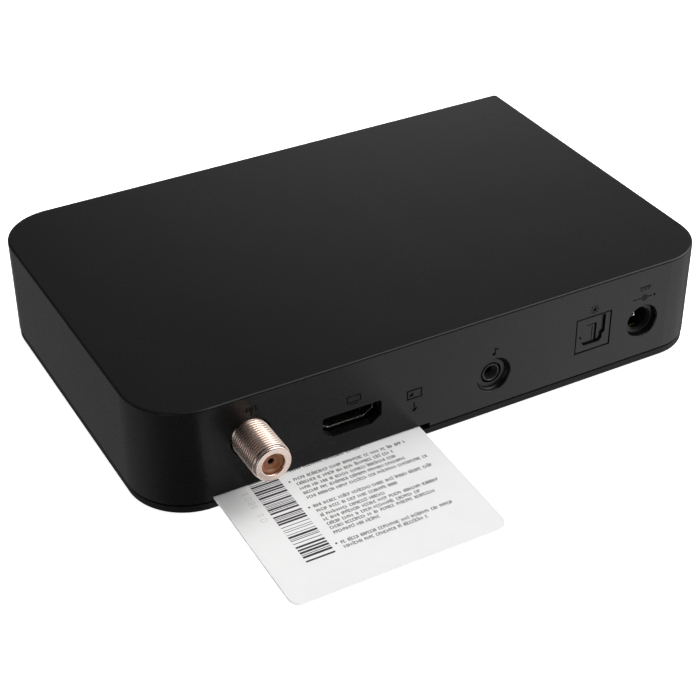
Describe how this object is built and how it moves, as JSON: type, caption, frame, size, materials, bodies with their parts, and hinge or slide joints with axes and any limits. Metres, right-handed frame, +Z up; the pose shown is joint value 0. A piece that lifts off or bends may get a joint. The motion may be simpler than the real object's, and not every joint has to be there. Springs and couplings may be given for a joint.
{
  "type": "satellite television receiver",
  "caption": "Small black box-shaped satellite television receiver with a threaded aerial input, video, audio, optical and power sockets and a smart card that slides in under its rear wall.",
  "frame": {"origin": "middle of the case's plan, on the plane the feet stand on, 0.8 mm under the flat underside", "axes": "+Z up, +Y out of the wall with the sockets, -Y out of the front wall, +X along the width towards the aerial input"},
  "size_m": [0.1544, 0.1399, 0.029],
  "materials": {
    "case_plastic": "fine spark-eroded matt black ABS",
    "foot_rubber": "matt black rubber",
    "screw_steel": "black zinc on steel",
    "board": "green solder resist on glass epoxy",
    "barrel_metal": "nickel-plated brass with a warm tone",
    "insulator": "amber brown moulded insulator",
    "contact_gold": "gold-plated spring metal",
    "tin_sheet": "bright tin-plated sheet",
    "socket_metal": "nickel-plated sheet",
    "socket_black": "black nylon",
    "port_plastic": "satin black ABS",
    "emitter_clear": "dark red epoxy",
    "pin_metal": "bright nickel-plated pin",
    "reader_plastic": "black nylon",
    "card_white": "white laminated PVC with dark print",
    "chip_black": "black moulding compound",
    "pad_grey": "grey silicone",
    "heat_sink_metal": "black anodised",
    "coil_ferrite": "grey ferrite",
    "capacitor_can": "bare drawn aluminium",
    "crystal_can": "nickel-plated can",
    "passive_body": "tan ceramic with tinned ends",
    "window_lens": "dark infrared-passing acrylic",
    "sensor_epoxy": "black epoxy",
    "led_lens": "red epoxy",
    "pipe_clear": "clear acrylic"
  },
  "bodies": {
    "case": {"upper_housing": "case_plastic", "bottom_cover": "case_plastic", "rubber_feet": "foot_rubber", "case_screws": "screw_steel", "board_screws": "screw_steel", "main_board": "board", "rf_barrel": "barrel_metal", "rf_insulator": "insulator", "rf_contact": "contact_gold", "tuner_can": "tin_sheet", "tuner_lid": "tin_sheet", "tuner_chip": "chip_black", "video_shell": "socket_metal", "video_tongue": "socket_black", "video_contacts": "contact_gold", "av_jack_body": "socket_black", "av_jack_ring": "socket_black", "av_jack_contacts": "contact_gold", "optical_housing": "port_plastic", "optical_emitter": "emitter_clear", "power_jack_body": "socket_black", "power_jack_pin": "pin_metal", "power_jack_spring": "contact_gold", "card_reader": "reader_plastic", "reader_springs": "contact_gold", "decoder_chip": "chip_black", "thermal_pad": "pad_grey", "heat_sink": "heat_sink_metal", "memory_chips": "chip_black", "flash_chip": "chip_black", "regulators": "chip_black", "power_coils": "coil_ferrite", "capacitors": "capacitor_can", "crystal": "crystal_can", "passives": "passive_body", "front_window": "window_lens", "infrared_receiver": "sensor_epoxy", "light_holder": "socket_black", "standby_led": "led_lens", "light_pipe": "pipe_clear"},
    "card": {"smart_card": "card_white", "card_chip": "contact_gold"},
    "door": {"optical_door": "port_plastic"}
  },
  "joints": [
    {"name": "card_slide", "type": "slide", "parent": "case", "child": "card", "axis": [0, 0.9994, -0.0349], "range_m": [0, 0.045]},
    {"name": "optical_door_hinge", "type": "hinge", "parent": "case", "child": "door", "pos_m": [-0.0411, 0.04918, 0.01875], "axis": [-1, 0, 0], "range_deg": [0, 80], "stiffness_Nm_per_rad": 0.0001, "springref_deg": -34.38}
  ]
}
